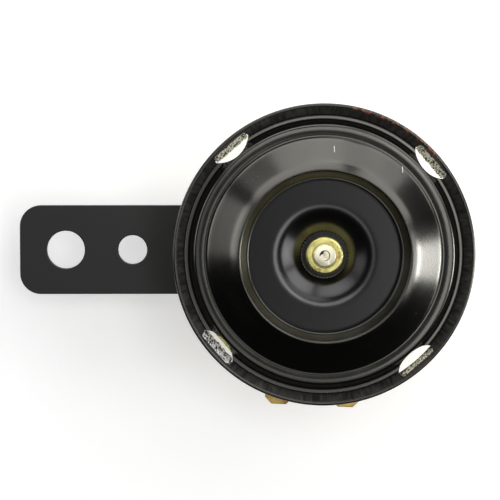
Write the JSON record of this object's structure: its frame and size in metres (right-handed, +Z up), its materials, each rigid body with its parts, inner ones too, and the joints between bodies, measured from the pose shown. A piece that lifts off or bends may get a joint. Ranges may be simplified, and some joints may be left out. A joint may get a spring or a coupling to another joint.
{
  "type": "electric disc horn",
  "caption": "Round pressed-steel disc horn with a domed open-mouth bell, a tone disc on a central nut, rear cup housing, blade terminals and a flat drilled bracket.",
  "frame": {"origin": "centre of the bracket's 8.5 mm mounting hole, in the bracket's rear face", "axes": "-Y is the way the horn sounds, +Y runs back along the mounting hole, +X runs along the bracket from the mounting hole to the horn's axis at x = 57 mm, +Z is up, away from the terminals"},
  "size_m": [0.0998, 0.0386, 0.068],
  "materials": {
    "black_enamel": "gloss black enamel",
    "black_bracket_paint": "satin black paint",
    "yellow_zinc": "yellow passivated zinc plate",
    "bright_zinc": "bright zinc plate",
    "bright_steel": "bare turned steel",
    "black_steel": "blackened spring steel",
    "spring_steel": "blued spring steel",
    "leaf_brass": "rolled phosphor bronze",
    "terminal_brass": "plated brass blades, tarnished",
    "contact_metal": "sintered contact metal",
    "copper_wire": "enamelled copper wire",
    "bobbin_nylon": "moulded nylon",
    "phenolic": "phenolic paper board",
    "gasket_fibre": "compressed fibre gasket"
  },
  "bodies": {
    "body": {"bracket": "black_bracket_paint", "spring_washer": "bright_zinc", "bracket_nut": "yellow_zinc", "core_nut": "yellow_zinc", "housing": "yellow_zinc", "rear_gasket": "gasket_fibre", "diaphragm": "spring_steel", "front_gasket": "gasket_fibre", "front_bell": "black_enamel", "pole_core": "bright_zinc", "coil_bobbin": "bobbin_nylon", "coil_winding": "copper_wire", "breaker_bracket": "bright_zinc", "lower_insulator": "phenolic", "middle_insulator": "phenolic", "fixed_contact": "contact_metal", "fixed_leaf": "leaf_brass", "upper_insulator": "phenolic", "breaker_rivets": "leaf_brass", "adjusting_screw": "yellow_zinc", "adjuster_bush": "yellow_zinc", "adjuster_lock_nut": "yellow_zinc", "terminal_left": "terminal_brass", "terminal_right": "terminal_brass", "terminal_insulator": "phenolic", "inner_insulator": "phenolic", "terminal_rivets": "terminal_brass", "coil_leads": "copper_wire"},
    "vibrator": {"tone_disc": "black_enamel", "lock_washer": "black_steel", "centre_nut": "yellow_zinc", "armature": "bright_steel"},
    "breaker_arm": {"moving_leaf": "leaf_brass", "moving_contact": "contact_metal"}
  },
  "joints": [
    {"name": "armature_stroke", "type": "slide", "parent": "body", "child": "vibrator", "axis": [0, 1, 0], "range_m": [0, 0.0005], "stiffness_N_per_m": 2000, "deforming": ["diaphragm"]},
    {"name": "breaker_leaf", "type": "hinge", "parent": "body", "child": "breaker_arm", "pos_m": [0.057, -0.0145, 0.0144], "axis": [1, 0, 0], "range_deg": [0, 5.3], "deforming": ["moving_leaf"]}
  ],
  "couplings": [
    {"joint": "breaker_leaf", "follows": "armature_stroke", "rad_per_m": 180}
  ]
}
